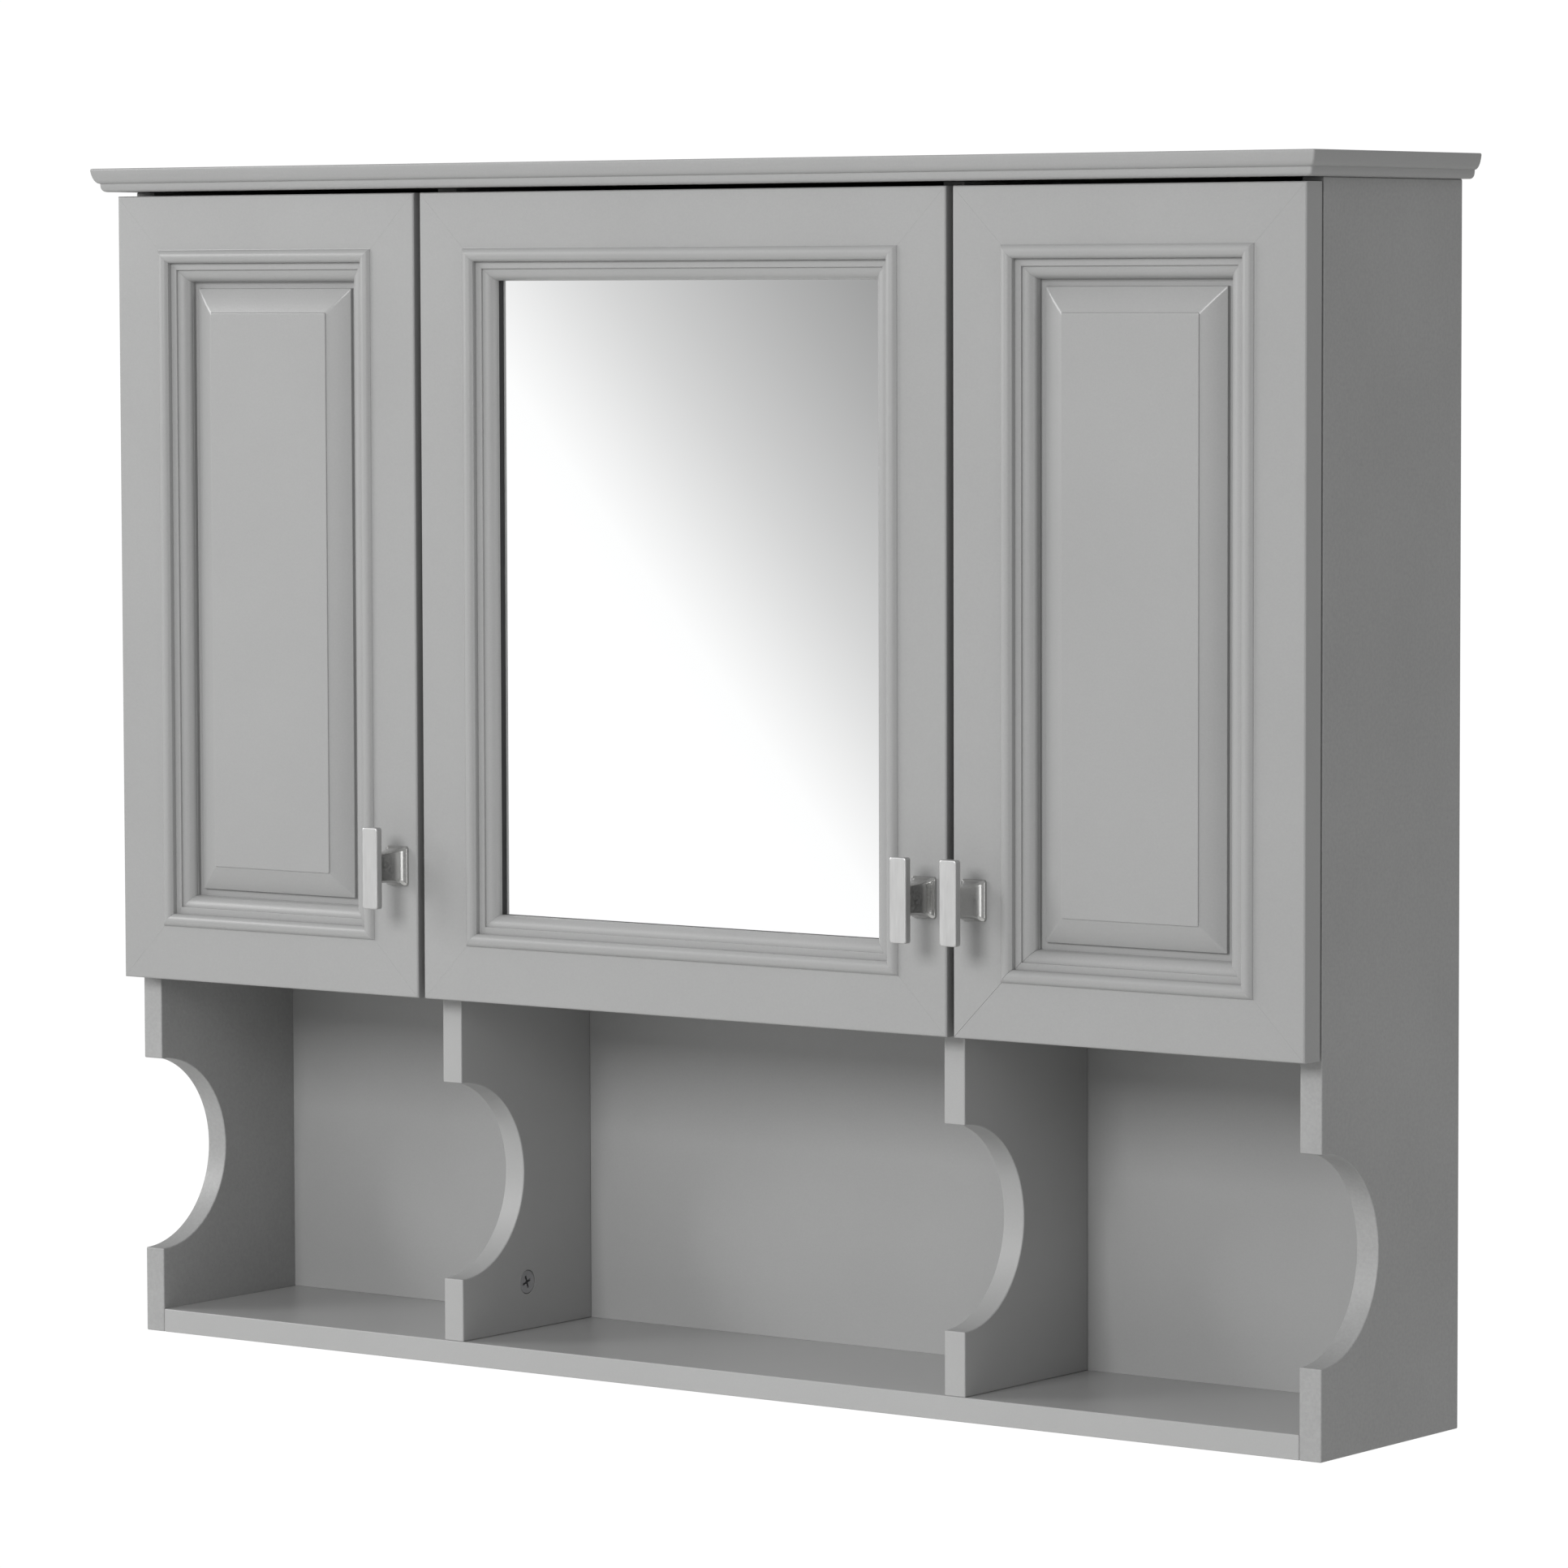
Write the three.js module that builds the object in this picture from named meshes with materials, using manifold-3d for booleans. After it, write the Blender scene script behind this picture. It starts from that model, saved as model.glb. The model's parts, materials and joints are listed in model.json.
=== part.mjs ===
// Hanging wall cabinet: three doors (raised panel, mirror, raised panel) over
// three open cubbies, knock-down board carcass hung on a rail.
// Millimetres. +X to the right, +Y into the wall, +Z up.
// Inside the "cabinet" group z = 0 is the underside of the bottom board; the
// group is lowered so that the origin is the middle of the hanging rail's
// rear face.
import * as THREE from 'three';
import { mergeVertices } from 'three/addons/utils/BufferGeometryUtils.js';
import Module from 'manifold-3d';

const wasm = await Module();
wasm.setup();

// ---------------------------------------------------------------- dimensions
const WIDTH = 900;            // outside of the side panels
const BOARD = 15;             // all structural boards
const DEPTH = 152;            // wall to the front edges of the carcass
const SIDE_HEIGHT = 738;      // side panels, up to the underside of the top
const TOP_THICKNESS = 15;
const TOP_OVERHANG_LOW = 4.5; // top board beyond the side panels, underside
const TOP_OVERHANG_HIGH = 12.8; // the same at its upper edge
const TOP_FRONT_LOW = 174.6;  // wall to the front of the top board, underside
const DIVIDER_INNER = 185;    // half the width of the middle bay
const DECK_BOTTOM = 233;      // underside of the fixed deck boards
const SHELF_BOTTOM = 486;     // underside of the adjustable shelves
const BACK_FRONT = 21;        // wall to the front face of the back panel
const BACK_THICKNESS = 6;
const RAIL_THICKNESS = 15;
const RAIL_HEIGHT = 60;
const HANG_HEIGHT = 708;      // centre of the hanging rail above the underside
const CUTOUT_RADIUS = 62;     // half-round cut-outs in the uprights
const CUTOUT_HEIGHT = 116.3;
const WALL_SCREW_X = [-300, 300];
const WALL_SCREW_R = 2.6;

const DOOR_GAP = 1.5;         // carcass front to the back of a door
const DOOR_THICKNESS = 17;
const DOOR_BOTTOM = 232.6;
const DOOR_TOP = 735.2;
const DOOR_EDGES = { left: [-449.7, -204.7], middle: [-199.7, 199.7], right: [204.7, 449.7] };
const FRAME_WIDTH = 54.8;     // door frame members, edge to sight line
const REBATE_EDGE = 48;       // door edge to the rebate behind the moulding
const REBATE_DEPTH = 12.6;    // door face to the bottom of the rebate
const PANEL_FACE = 3.0;       // raised field below the door face
const MIRROR_THICKNESS = 4;
const BACKING_THICKNESS = 2.5;

const HINGE_FROM_END = 90;    // hinge centres from the door's ends
const CUP_RADIUS = 17.4;
const CUP_DEPTH = 11.3;
const CUP_CENTRE = 22.5;      // from the outer face of the panel that carries it
const CUP_CAVITY_R = 15.9;
const LINK_PIVOT = [32.11, 0.11];
const LINK_LENGTH = 25.81;
const LINK_ANGLE = 158.9;     // degrees, doors shut
const LINK_THICKNESS = 1.6;

const PULL_FROM_EDGE = 15.5;
const PULL_HEIGHT = 315.2;
const PULL_PROJECTION = 28;
const PULL_BAR = [11.9, 5.3, 51];
const CAM_RADIUS = 7.5;
const CAM_Y = -86.9;
const CAM_Z = 45.5;

// ---------------------------------------------------------------- helpers
const COL = {
  paint: [0x8f8f8e, 0.45, 0.0],
  inside: [0x8a8a89, 0.55, 0.0],
  steel: [0xb9bbbd, 0.32, 0.9],
  cup: [0xc4c6c8, 0.3, 0.9],
  zinc: [0x9fa1a4, 0.4, 0.9],
  nickel: [0xc6c5c2, 0.28, 0.95],
  mirror: [0xdfe4e6, 0.03, 1.0],
  backing: [0x6d5b48, 0.8, 0.0],
};
const cabinet = new THREE.Group();
cabinet.position.z = -HANG_HEIGHT;

function flipWinding(g) {
  const ix = g.index.array;
  for (let i = 0; i < ix.length; i += 3) { const t = ix[i + 1]; ix[i + 1] = ix[i + 2]; ix[i + 2] = t; }
}
function clean(g) {
  g = g.clone();
  g.deleteAttribute('normal');
  g.deleteAttribute('uv');
  return mergeVertices(g, 1e-4);
}
function solid(g) {
  g = clean(g);
  return new wasm.Manifold(new wasm.Mesh({
    numProp: 3,
    vertProperties: new Float32Array(g.attributes.position.array),
    triVerts: new Uint32Array(g.index.array),
  }));
}
function geometry(m) {
  const mesh = m.getMesh();
  const n = mesh.numProp, v = mesh.vertProperties;
  const pos = new Float32Array((v.length / n) * 3);
  for (let i = 0; i < v.length / n; i++) for (let k = 0; k < 3; k++) pos[3 * i + k] = v[n * i + k];
  const g = new THREE.BufferGeometry();
  g.setAttribute('position', new THREE.BufferAttribute(pos, 3));
  g.setIndex(new THREE.BufferAttribute(new Uint32Array(mesh.triVerts), 1));
  return g;
}
function add(name, g, look) {
  if (!g.isBufferGeometry) g = geometry(g);
  g = clean(g);
  g.computeVertexNormals();
  const [c, r, m] = COL[look];
  const mesh = new THREE.Mesh(g, new THREE.MeshStandardMaterial({ color: c, roughness: r, metalness: m }));
  mesh.name = name;
  cabinet.add(mesh);
}
function box(x0, x1, y0, y1, z0, z1) {
  const g = new THREE.BoxGeometry(x1 - x0, y1 - y0, z1 - z0);
  g.translate((x0 + x1) / 2, (y0 + y1) / 2, (z0 + z1) / 2);
  return g;
}
function outline(points) {
  const s = new THREE.Shape();
  points.forEach(([a, b], i) => (i ? s.lineTo(a, b) : s.moveTo(a, b)));
  s.closePath();
  return s;
}
// section in (x, y), run along z
function prismZ(points, z0, z1) {
  const g = new THREE.ExtrudeGeometry(outline(points), { depth: z1 - z0, bevelEnabled: false });
  g.translate(0, 0, z0);
  return g;
}
// section in (y, z), run along x
function prismX(points, x0, x1) {
  const g = prismZ(points, x0, x1);
  g.applyMatrix4(new THREE.Matrix4().set(0, 0, 1, 0, 1, 0, 0, 0, 0, 1, 0, 0, 0, 0, 0, 1));
  return g;
}
// section in (x, z), run along y from y0 to y1
function prismY(points, y0, y1) {
  const g = prismZ(points, -y1, -y0);
  g.applyMatrix4(new THREE.Matrix4().makeRotationX(Math.PI / 2));
  return g;
}
function cylX(r, x0, x1, y, z, seg = 32) {
  const g = new THREE.CylinderGeometry(r, r, x1 - x0, seg);
  g.rotateZ(-Math.PI / 2);
  g.translate((x0 + x1) / 2, y, z);
  return g;
}
function cylY(r, y0, y1, x, z, seg = 32) {
  const g = new THREE.CylinderGeometry(r, r, y1 - y0, seg);
  g.translate(x, (y0 + y1) / 2, z);
  return g;
}
function arc(cx, cy, rx, ry, a0, a1, n) {
  const out = [];
  for (let i = 0; i <= n; i++) {
    const a = THREE.MathUtils.degToRad(a0 + ((a1 - a0) * i) / n);
    out.push([cx + rx * Math.cos(a), cy + ry * Math.sin(a)]);
  }
  return out;
}
// maps a piece drawn in a local (across, outward, up) frame to the cabinet
function placed(piece, mapX, y0, z0, sign) {
  let g = piece.isBufferGeometry ? clean(piece) : clean(geometry(piece));
  const m = new THREE.Matrix4().set(sign, 0, 0, mapX, 0, -1, 0, y0, 0, 0, 1, z0, 0, 0, 0, 1);
  g.applyMatrix4(m);
  if (sign > 0) flipWinding(g);
  return g;
}

// ---------------------------------------------------------------- carcass
const H = WIDTH / 2;
const uprightOutline = (yBack, z0) => {
  const pts = [[yBack, z0], [yBack, SIDE_HEIGHT], [-DEPTH, SIDE_HEIGHT]];
  pts.push(...arc(-DEPTH, CUTOUT_HEIGHT, CUTOUT_RADIUS, CUTOUT_RADIUS, 90, -90, 24));
  pts.push([-DEPTH, z0]);
  return pts;
};
const side = uprightOutline(0, 0);
const divider = uprightOutline(-BACK_FRONT, BOARD);
add('left_side_panel', prismX(side, -H, -H + BOARD), 'paint');
add('right_side_panel', prismX(side, H - BOARD, H), 'paint');

const camBore = (x0, x1) => solid(cylX(CAM_RADIUS + 0.1, x0, x1, CAM_Y, CAM_Z, 32));
add('left_divider', solid(prismX(divider, -DIVIDER_INNER - BOARD, -DIVIDER_INNER))
  .subtract(camBore(-DIVIDER_INNER - 12.5, -DIVIDER_INNER + 1)), 'inside');
add('right_divider', solid(prismX(divider, DIVIDER_INNER, DIVIDER_INNER + BOARD))
  .subtract(camBore(DIVIDER_INNER - 1, DIVIDER_INNER + 12.5)), 'inside');
function cam(inner, dir) {
  // inner: recessed face, dir: +1 body runs towards +x
  const a = inner + dir * 0.6, b = inner + dir * 12.3;
  let c = solid(cylX(CAM_RADIUS - 0.05, Math.min(a, b), Math.max(a, b), CAM_Y, CAM_Z, 32));
  const s0 = Math.min(a - dir, a + dir * 3), s1 = Math.max(a - dir, a + dir * 3);
  const bar = (ang) => {
    const g = box(s0, s1, -4.3, 4.3, -0.8, 0.8);
    g.rotateX(ang);
    g.translate(0, CAM_Y, CAM_Z);
    return solid(g);
  };
  return c.subtract(bar(0.35)).subtract(bar(0.35 + Math.PI / 2));
}
add('left_divider_cam', cam(-DIVIDER_INNER, -1), 'zinc');
add('right_divider_cam', cam(DIVIDER_INNER, 1), 'zinc');

add('bottom_board', box(-H + BOARD, H - BOARD, -DEPTH, 0, 0, BOARD), 'paint');
const bays = {
  left: [-H + BOARD, -DIVIDER_INNER - BOARD],
  middle: [-DIVIDER_INNER, DIVIDER_INNER],
  right: [DIVIDER_INNER + BOARD, H - BOARD],
};
for (const [bay, [x0, x1]] of Object.entries(bays)) {
  add(`${bay}_deck`, box(x0, x1, -DEPTH, -BACK_FRONT, DECK_BOTTOM, DECK_BOTTOM + BOARD), 'inside');
  add(`${bay}_shelf`, box(x0 + 0.8, x1 - 0.8, -DEPTH + 8, -BACK_FRONT - 0.8, SHELF_BOTTOM, SHELF_BOTTOM + BOARD), 'inside');
}

// top board: one board with a routed edge on three sides, mitring at the corners
// (outward from the underside's edge, up)
const routed = [
  [0, 0], [0.4, 0.15], [1.6, 0.6], [2.6, 1.5], [3.3, 2.8], [3.6, 4.2], [3.7, 5.3],
  [4.6, 5.5], [5.6, 6.3], [6.7, 7.8], [7.5, 9.7], [8.0, 11.8], [8.25, 13.6], [8.1, 14.5], [7.5, 15],
];
const ZT = SIDE_HEIGHT;
const halfSide = H + TOP_OVERHANG_LOW;
const across = [
  ...routed.map(([o, z]) => [halfSide + o, ZT + z]),
  ...routed.slice().reverse().map(([o, z]) => [-halfSide - o, ZT + z]),
];
const along = [[0, ZT + TOP_THICKNESS], [0, ZT],].reverse();
const frontSection = [
  [0, ZT], [0, ZT + TOP_THICKNESS],
  ...routed.slice().reverse().map(([o, z]) => [-TOP_FRONT_LOW - o, ZT + z]),
];
add('top_panel', solid(prismY(across, -TOP_FRONT_LOW - 20, 10))
  .intersect(solid(prismX(frontSection, -H - 40, H + 40))), 'paint');

const wallScrew = (y0, y1) => WALL_SCREW_X.map((x) => solid(cylY(WALL_SCREW_R, y0, y1, x, HANG_HEIGHT, 20)));
let back = solid(box(-H + BOARD, H - BOARD, -BACK_FRONT, -BACK_FRONT + BACK_THICKNESS, BOARD, SIDE_HEIGHT));
let hang = solid(box(-H + BOARD, H - BOARD, -RAIL_THICKNESS, 0, HANG_HEIGHT - RAIL_HEIGHT / 2, HANG_HEIGHT + RAIL_HEIGHT / 2));
for (const s of wallScrew(-40, 20)) { back = back.subtract(s); hang = hang.subtract(s); }
add('back_panel', back, 'inside');
add('upper_hanging_rail', hang, 'inside');
add('lower_wall_rail', box(-H + BOARD, H - BOARD, -RAIL_THICKNESS, 0, BOARD, BOARD + RAIL_HEIGHT), 'inside');

// ---------------------------------------------------------------- doors
const DOOR_BACK = -DEPTH - DOOR_GAP;
const DOOR_FACE = DOOR_BACK - DOOR_THICKNESS;
// frame moulding: (inset from the door's edge, depth below the face)
const moulding = [
  [0, DOOR_THICKNESS], [0, 1.1], [0.35, 0.35], [1.1, 0], [34.6, 0],
  ...arc(38.85, 1.0, 4.3, 3.95, 195, 342, 9).filter(([, d]) => d < 2.2),
  [43.1, 2.2], [47.1, 2.2], [47.35, 2.5], [47.45, 3.65],
  ...arc(47.5, 9.9, 7.2, 6.15, -84, -6, 6),
  [FRAME_WIDTH, 10.1], [FRAME_WIDTH, REBATE_DEPTH], [REBATE_EDGE, REBATE_DEPTH], [REBATE_EDGE, DOOR_THICKNESS],
];
// a member is the moulding run along one edge with both ends mitred
function member(edge, [x0, x1]) {
  const g = clean(prismZ(moulding, 0, 1));
  const p = g.attributes.position;
  for (let i = 0; i < p.count; i++) {
    const t = p.getX(i), d = p.getY(i), w = p.getZ(i) > 0.5 ? 1 : 0;
    let x, z;
    if (edge === 'left' || edge === 'right') {
      x = edge === 'left' ? x0 + t : x1 - t;
      z = w ? DOOR_TOP - t : DOOR_BOTTOM + t;
    } else {
      z = edge === 'bottom' ? DOOR_BOTTOM + t : DOOR_TOP - t;
      x = w ? x1 - t : x0 + t;
    }
    p.setXYZ(i, x, DOOR_FACE + d, z);
  }
  if (edge === 'right' || edge === 'bottom') flipWinding(g);
  return g;
}
// cup hinge, drawn as (inwards from the carrying panel's outer face, outwards
// from the carcass front, up)
const lathe = (pts, seg) => new THREE.LatheGeometry(pts.map(([r, y]) => new THREE.Vector2(r, y)), seg);
function hingeCup() {
  const body = lathe([[0, DOOR_GAP + CUP_DEPTH], [CUP_RADIUS, DOOR_GAP + CUP_DEPTH], [CUP_RADIUS, DOOR_GAP], [19, DOOR_GAP], [19, 0.5], [0, 0.5]].reverse(), 24);
  body.translate(CUP_CENTRE, 0, 0);
  const wings = prismYlocal([[18, -26.5], [34, -26.5], [36, -24.5], [36, 24.5], [34, 26.5], [18, 26.5]], 0.5, DOOR_GAP);
  const cavity = new THREE.CylinderGeometry(CUP_CAVITY_R, CUP_CAVITY_R, 14, 24);
  cavity.translate(CUP_CENTRE, -2 + 7, 0);
  let c = solid(body).add(solid(wings)).subtract(solid(cavity));
  for (const z of [-22.5, 22.5]) {
    const h = new THREE.CylinderGeometry(2, 2, 6, 10);
    h.translate(28.5, 1, z);
    c = c.subtract(solid(h));
  }
  return c;
}
function prismYlocal(points, s0, s1) {
  // section in (across, up), run outwards
  const g = prismZ(points, -s1, -s0);
  g.applyMatrix4(new THREE.Matrix4().makeRotationX(Math.PI / 2));
  return g;
}
function hingeArm() {
  const [ax, as] = LINK_PIVOT;
  const plate = box(BOARD, BOARD + 2.2, -58, -20, -15, 15);
  const web = prismZ([[BOARD + 1.5, -62], [26.5, -62], [28, -60.5], [28, -14], [26, -9.5], [20, -9.5], [BOARD + 1.5, -18]], -7.2, 7.2);
  const cheek = [[20, -22], [28, -26], [34.3, -2.5], ...arc(ax, as, 2.2, 2.2, -20, 160, 8), [20, -11]];
  const pin = new THREE.CylinderGeometry(1.2, 1.2, 13, 16);
  pin.rotateX(Math.PI / 2);
  pin.translate(ax, as, 0);
  return solid(plate).add(solid(web))
    .add(solid(prismZ(cheek, 5.7, 7.2)))
    .add(solid(prismZ(cheek, -7.2, -5.7)))
    .add(solid(pin));
}
function hingeLink() {
  const [ax, as] = LINK_PIVOT;
  const h = LINK_THICKNESS / 2;
  const half = 3.6;
  const pts = [
    ...arc(0, 0, 2.4, 2.4, 22, 338, 14),
    [LINK_LENGTH - h, -h],
    ...arc(LINK_LENGTH - h, 0, h, h, -60, 60, 4),
    [LINK_LENGTH - h, h],
  ];
  const g = prismZ(pts, -half, half);
  const eye = new THREE.CylinderGeometry(1.5, 1.5, 20, 16);
  eye.rotateX(Math.PI / 2);
  const link = geometry(solid(g).subtract(solid(eye)));
  link.rotateZ(THREE.MathUtils.degToRad(LINK_ANGLE));
  link.translate(ax, as, 0);
  return link;
}
const cupSolid = hingeCup(), armSolid = hingeArm(), linkSolid = hingeLink();
const HINGE_Z = { lower: DOOR_BOTTOM + HINGE_FROM_END, upper: DOOR_TOP - HINGE_FROM_END };

// pull: flat upright bar on a waisted stem that flares to a foot on the door
function ring(w, h, r, n = 3) {
  const out = [];
  const c = [[w / 2 - r, h / 2 - r, 0], [-w / 2 + r, h / 2 - r, 90], [-w / 2 + r, -h / 2 + r, 180], [w / 2 - r, -h / 2 + r, 270]];
  for (const [cx, cz, a0] of c) out.push(...arc(cx, cz, r, r, a0, a0 + 90, n));
  return out;
}
function loft(rings) {
  // rings: [outward, [[across, up], ...]] from the door outwards
  const n = rings[0][1].length, pos = [], idx = [];
  for (const [s, pts] of rings) for (const [a, b] of pts) pos.push(a, s, b);
  for (let k = 0; k < rings.length - 1; k++) for (let i = 0; i < n; i++) {
    const j = (i + 1) % n, p = k * n + i, q = k * n + j, r = p + n, t = q + n;
    idx.push(p, q, r, q, t, r);
  }
  for (const [k, inward] of [[0, true], [rings.length - 1, false]]) {
    const c = pos.length / 3;
    let sx = 0, sz = 0;
    for (const [a, b] of rings[k][1]) { sx += a / n; sz += b / n; }
    pos.push(sx, rings[k][0], sz);
    for (let i = 0; i < n; i++) {
      const j = (i + 1) % n;
      if (inward) idx.push(c, k * n + j, k * n + i); else idx.push(c, k * n + i, k * n + j);
    }
  }
  const g = new THREE.BufferGeometry();
  g.setAttribute('position', new THREE.BufferAttribute(new Float32Array(pos), 3));
  g.setIndex(idx);
  flipWinding(g);
  return g;
}
const STEM_TOP = PULL_PROJECTION - PULL_BAR[1];
const FACE_S = DOOR_GAP + DOOR_THICKNESS;
const stemRings = [
  [0, 17.2, 24.8, 2.2], [1.6, 17.2, 24.8, 2.2], [2.4, 16.2, 24.0, 2.2], [4.5, 12.6, 21.8, 2.4],
  [8, 9.6, 20.2, 2.6], [13, 8.0, 19.4, 2.6], [18, 7.6, 19.2, 2.6], [STEM_TOP - 1, 7.9, 19.4, 2.6], [STEM_TOP, 8.4, 19.8, 2.6],
];
function pullStem() {
  const g = loft(stemRings.map(([s, w, h, r]) => [s, ring(w, h, r)]));
  const hole = new THREE.CylinderGeometry(2.1, 2.1, 11, 16);
  hole.translate(0, 4.5, 0);
  return solid(g).subtract(solid(hole));
}
function pullBar() {
  const [w, t, h] = PULL_BAR;
  return loft([
    [STEM_TOP, ring(w - 0.8, h - 0.8, 1.0)], [STEM_TOP + 0.5, ring(w, h, 1.3)],
    [PULL_PROJECTION - 0.8, ring(w, h, 1.3)], [PULL_PROJECTION, ring(w - 1.2, h - 1.2, 1.0)],
  ]);
}
const SCREW_HEAD_R = 4, SCREW_HEAD = 2.2, SCREW_R = 1.85;
function pullScrew() {
  // outward from the carcass front; head in a counterbore in the door's back
  const s0 = DOOR_GAP + 0.2;
  return lathe([[0, s0 + 0.9], [1.2, s0 + 0.9], [1.9, s0], [SCREW_HEAD_R, s0 + 0.3], [SCREW_HEAD_R, s0 + SCREW_HEAD], [SCREW_R, s0 + SCREW_HEAD], [SCREW_R, FACE_S + 8.5], [1.3, FACE_S + 9.2], [0, FACE_S + 9.2]], 14);
}
const stemSolid = pullStem(), barGeometry = pullBar(), screwGeometry = pullScrew();

const doors = {
  left: { hinge: 'left', glazed: false },
  middle: { hinge: 'left', glazed: true },
  right: { hinge: 'right', glazed: false },
};
const carrier = { left: -H, middle: -DIVIDER_INNER - BOARD, right: H };
for (const [name, door] of Object.entries(doors)) {
  const edges = DOOR_EDGES[name];
  const sign = door.hinge === 'left' ? 1 : -1;
  const free = door.hinge === 'left' ? 'right' : 'left';
  const hingeX = carrier[name];
  const pullX = door.hinge === 'left' ? edges[1] - PULL_FROM_EDGE : edges[0] + PULL_FROM_EDGE;
  for (const edge of ['left', 'right', 'bottom', 'top']) {
    let g = member(edge, edges);
    if (edge === door.hinge) {
      let m = solid(g);
      for (const z of Object.values(HINGE_Z)) {
        m = m.subtract(solid(cylY(CUP_RADIUS + 0.15, DOOR_BACK - CUP_DEPTH - 0.25, DOOR_BACK + 5, hingeX + sign * CUP_CENTRE, z, 32)));
      }
      g = m;
    } else if (edge === free) {
      g = solid(g)
        .subtract(solid(cylY(SCREW_R + 0.35, DOOR_FACE - 5, DOOR_BACK + 5, pullX, PULL_HEIGHT, 16)))
        .subtract(solid(cylY(SCREW_HEAD_R + 0.3, DOOR_BACK - SCREW_HEAD - 0.3, DOOR_BACK + 5, pullX, PULL_HEIGHT, 24)));
    }
    const part = edge === 'left' || edge === 'right' ? 'stile' : 'rail';
    add(`${name}_door_${edge}_${part}`, g, 'paint');
  }
  const inset = REBATE_EDGE + 0.4;
  const [x0, x1] = [edges[0] + inset, edges[1] - inset];
  const [z0, z1] = [DOOR_BOTTOM + inset, DOOR_TOP - inset];
  if (door.glazed) {
    const face = DOOR_FACE + REBATE_DEPTH + 0.05;
    add('mirror_glass', box(x0, x1, face, face + MIRROR_THICKNESS, z0, z1), 'mirror');
    const o = 6.4;
    add('mirror_backing', box(x0 - o, x1 + o, DOOR_BACK + 0.02, DOOR_BACK + 0.02 + BACKING_THICKNESS, z0 - o, z1 + o), 'backing');
  } else {
    // raised panel: flat edge in the rebate, sunk margin, low wall, bevel, step, field
    const levels = [
      [0, DOOR_THICKNESS - 0.3], [0, REBATE_DEPTH + 0.05], [10.6, REBATE_DEPTH + 0.05],
      [10.85, 10.4], [11.25, 10.05], [15.0, 8.15], [18.6, 6.55], [22.2, 5.15], [25.95, 3.84], [26.15, PANEL_FACE + 0.25], [26.5, PANEL_FACE],
    ];
    const rect = (i) => [[x0 + i, z0 + i], [x1 - i, z0 + i], [x1 - i, z1 - i], [x0 + i, z1 - i]];
    const pos = [], idx = [];
    for (const [i, d] of levels) for (const [x, z] of rect(i)) pos.push(x, DOOR_FACE + d, z);
    for (let k = 0; k < levels.length - 1; k++) for (let i = 0; i < 4; i++) {
      const j = (i + 1) % 4, p = 4 * k + i, q = 4 * k + j, r = p + 4, t = q + 4;
      idx.push(p, q, r, q, t, r);
    }
    idx.push(0, 2, 1, 0, 3, 2);
    const e = 4 * (levels.length - 1);
    idx.push(e, e + 1, e + 2, e, e + 2, e + 3);
    const g = new THREE.BufferGeometry();
    g.setAttribute('position', new THREE.BufferAttribute(new Float32Array(pos), 3));
    g.setIndex(idx);
    add(`${name}_raised_panel`, g, 'paint');
  }
  for (const [h, z] of Object.entries(HINGE_Z)) {
    add(`${name}_${h}_hinge_cup`, placed(cupSolid, hingeX, -DEPTH, z, sign), 'cup');
    add(`${name}_${h}_hinge_arm`, placed(armSolid, hingeX, -DEPTH, z, sign), 'steel');
    add(`${name}_${h}_hinge_link`, placed(linkSolid, hingeX, -DEPTH, z, sign), 'steel');
  }
  add(`${name}_pull_stem`, placed(stemSolid, pullX, DOOR_FACE, PULL_HEIGHT, 1), 'nickel');
  add(`${name}_pull_bar`, placed(barGeometry, pullX, DOOR_FACE, PULL_HEIGHT, 1), 'nickel');
  add(`${name}_pull_screw`, placed(screwGeometry, pullX, -DEPTH, PULL_HEIGHT, 1), 'zinc');
}

const group = new THREE.Group();
group.add(cabinet);
export default group;
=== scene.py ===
import json
import math

import bmesh
import bpy
import numpy as np
from mathutils import Matrix, Vector


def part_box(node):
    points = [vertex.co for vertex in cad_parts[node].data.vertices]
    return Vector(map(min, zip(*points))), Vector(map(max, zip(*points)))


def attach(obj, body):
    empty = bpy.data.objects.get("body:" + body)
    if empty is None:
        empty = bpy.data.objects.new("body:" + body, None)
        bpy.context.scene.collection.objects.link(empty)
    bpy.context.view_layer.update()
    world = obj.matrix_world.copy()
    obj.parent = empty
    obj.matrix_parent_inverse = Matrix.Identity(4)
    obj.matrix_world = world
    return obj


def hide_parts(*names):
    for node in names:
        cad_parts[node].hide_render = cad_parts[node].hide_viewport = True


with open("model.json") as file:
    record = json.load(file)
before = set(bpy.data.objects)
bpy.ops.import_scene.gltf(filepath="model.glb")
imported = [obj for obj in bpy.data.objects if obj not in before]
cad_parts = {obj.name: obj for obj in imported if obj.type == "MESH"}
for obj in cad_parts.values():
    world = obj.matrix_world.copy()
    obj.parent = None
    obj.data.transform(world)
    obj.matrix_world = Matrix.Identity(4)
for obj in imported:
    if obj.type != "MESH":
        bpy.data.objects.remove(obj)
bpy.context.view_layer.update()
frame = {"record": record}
BODY_OF = {n: b for b, ns in frame["record"]["behaviour"]["bodies"].items() for n in ns}
MM = 0.001
H0 = 0.708  # origin above the underside of the bottom board

bpy.context.scene.view_settings.view_transform = "Standard"
bpy.context.scene.view_settings.look = "None"


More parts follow.
